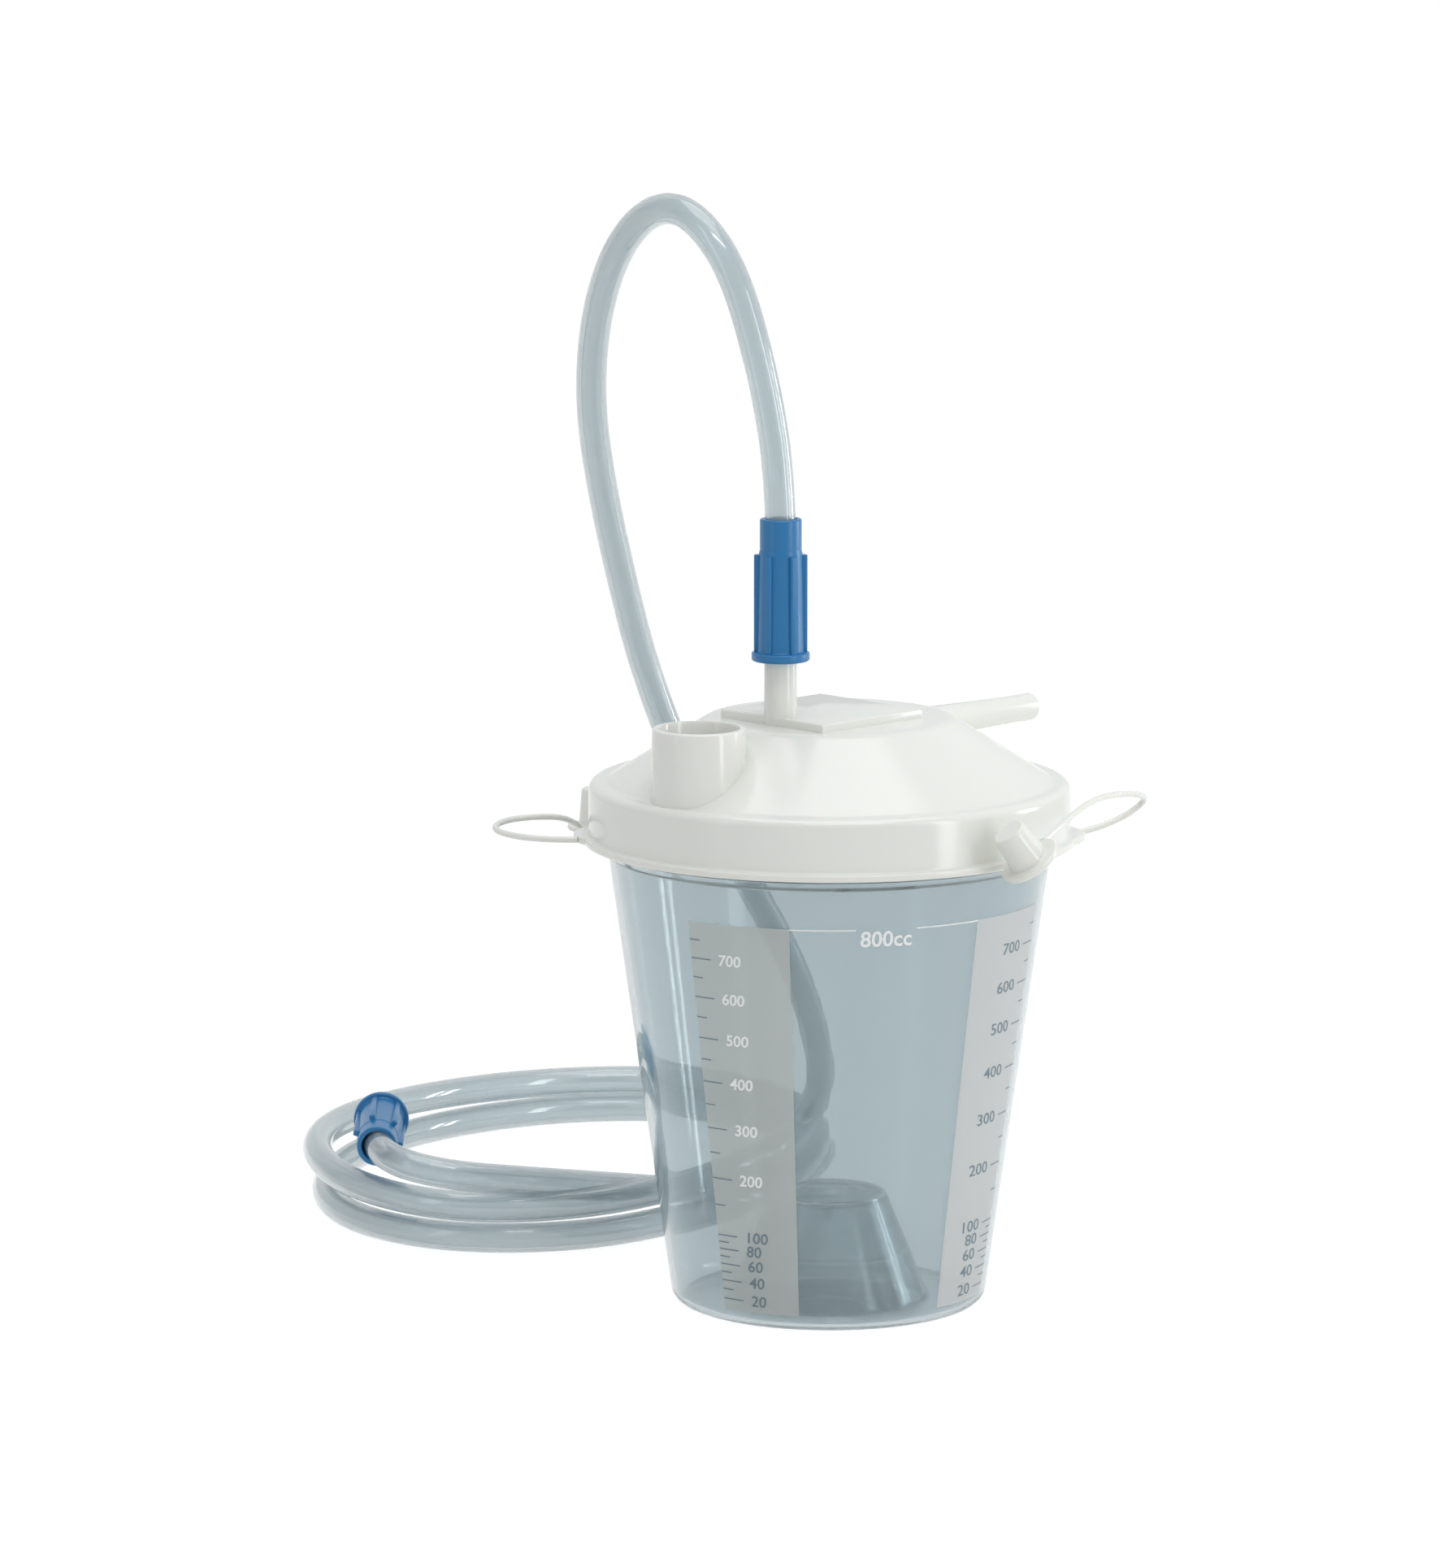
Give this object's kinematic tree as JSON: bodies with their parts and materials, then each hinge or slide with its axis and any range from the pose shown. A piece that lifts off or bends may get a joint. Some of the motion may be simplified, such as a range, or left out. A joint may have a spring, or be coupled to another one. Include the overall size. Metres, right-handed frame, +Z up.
{
  "type": "suction canister",
  "caption": "Clear tapered suction canister with a white push-fit lid, pour spout, float shut-off, tethered caps and a coiled hose with a push-on connector at each end.",
  "frame": {"origin": "the cup's axis, at the plane that the cup and the hose coil stand on", "axes": "+Z up along the cup's axis, +X along the vacuum port that leaves the lid, +Y towards the side that the hose coil lies on"},
  "size_m": [0.2148, 0.3172, 0.3],
  "materials": {
    "clear_cup": "clear gloss",
    "white_lid": "gloss",
    "float_plastic": "satin",
    "seal_rubber": "matte",
    "blue_connector": "satin",
    "clear_hose": "clear gloss"
  },
  "bodies": {
    "canister": {"canister": "clear_cup"},
    "lid": {"lid": "white_lid", "pour_spout": "white_lid", "patient_port": "white_lid", "vacuum_port": "white_lid", "float_cage": "white_lid", "near_connector": "blue_connector", "far_connector": "blue_connector", "tethered_cap_right": "white_lid", "tethered_cap_left": "white_lid", "hose_run": "clear_hose", "hose_coil": "clear_hose", "hose_tail": "clear_hose"},
    "float": {"float": "float_plastic", "float_seal": "seal_rubber"}
  },
  "joints": [
    {"name": "lid_lift", "type": "slide", "parent": "canister", "child": "lid", "axis": [0, 0, 1], "range_m": [0, 0.06]},
    {"name": "float_rise", "type": "slide", "parent": "lid", "child": "float", "axis": [0, 0, 1], "range_m": [0, 0.005]}
  ]
}
